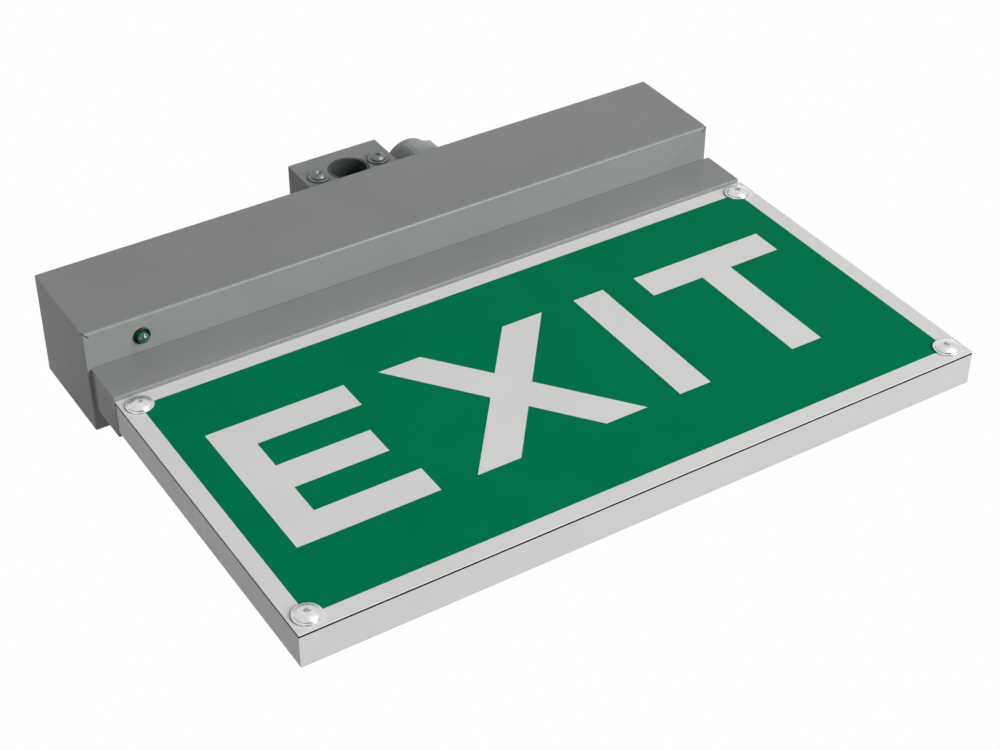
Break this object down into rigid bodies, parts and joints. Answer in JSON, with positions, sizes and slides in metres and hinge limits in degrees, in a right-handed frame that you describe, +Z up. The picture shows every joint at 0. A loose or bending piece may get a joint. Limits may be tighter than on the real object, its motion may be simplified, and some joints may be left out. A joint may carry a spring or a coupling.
{
  "type": "emergency exit light",
  "caption": "Folded steel housing that carries an edge-lit exit sign plate under a holder, with a top hanger block, cable gland and indicator lamp.",
  "frame": {"origin": "on the wall plane, on the sign's vertical centre line, at half the housing's height; the centre of the four wall-screw holes", "axes": "+X along the sign to the viewer's right, +Y into the wall, +Z up"},
  "size_m": [0.3017, 0.0465, 0.2523],
  "materials": {
    "grey_enamelled_steel": "smooth grey powder coat, satin",
    "zinc_plated_steel": "bright zinc plating",
    "white_abs": "moulded, fine satin",
    "clear_acrylic": "clear, polished edges",
    "opal_acrylic": "opal, satin",
    "white_film": "matt white",
    "printed_acrylic": "printed green field in a pale border, satin",
    "black_rubber": "matt",
    "dark_nylon": "moulded, satin",
    "grey_nylon": "moulded, fine ribs",
    "black_nylon": "moulded, gloss",
    "brass": "turned",
    "green_lamp_epoxy": "clear green, gloss",
    "shrink_sleeve": "shrunk sleeve, satin",
    "board_laminate": "solder-masked laminate",
    "white_laminate": "white solder mask",
    "lamp_phosphor": "phosphor",
    "ferrite": "ferrite and taped winding, matt",
    "capacitor_sleeve": "shrunk sleeve",
    "relay_case": "moulded, gloss",
    "white_nylon": "moulded",
    "terminal_polyamide": "moulded"
  },
  "bodies": {
    "root": {"housing_cover": "grey_enamelled_steel", "chassis": "grey_enamelled_steel", "sign_holder": "grey_enamelled_steel", "led_board": "white_laminate", "wire_grommet": "black_rubber", "sign_tray": "white_abs", "reflector_sheet": "white_film", "light_guide": "clear_acrylic", "diffuser_plate": "opal_acrylic", "panel_gasket": "black_rubber", "sign_panel": "printed_acrylic", "hanger_bracket": "grey_enamelled_steel", "hanger_block": "grey_enamelled_steel", "bracket_screws": "zinc_plated_steel", "hanger_bush": "dark_nylon", "gland_washer": "black_rubber", "gland_body": "grey_nylon", "gland_seal": "black_rubber", "gland_cap_nut": "grey_nylon", "gland_locknut": "grey_nylon", "indicator_bezel": "black_nylon", "indicator_led": "green_lamp_epoxy", "indicator_nut": "black_nylon", "battery_pack": "shrink_sleeve", "driver_board": "board_laminate", "transformer": "ferrite", "relay": "relay_case", "terminal_block": "terminal_polyamide", "earth_stud": "brass", "earth_nut": "brass", "cover_screws": "zinc_plated_steel", "holder_screws": "zinc_plated_steel", "led_packages": "lamp_phosphor", "led_board_screws": "zinc_plated_steel", "sign_inserts": "brass", "sign_washers": "zinc_plated_steel", "sign_screws": "zinc_plated_steel", "tray_inserts": "brass", "tray_screws": "zinc_plated_steel", "block_washers": "zinc_plated_steel", "block_screws": "zinc_plated_steel", "block_nuts": "zinc_plated_steel", "battery_clips": "zinc_plated_steel", "clip_screws": "zinc_plated_steel", "board_standoffs": "zinc_plated_steel", "board_screws": "zinc_plated_steel", "capacitors": "capacitor_sleeve", "board_headers": "white_nylon", "terminal_screws": "zinc_plated_steel"}
  },
  "joints": []
}
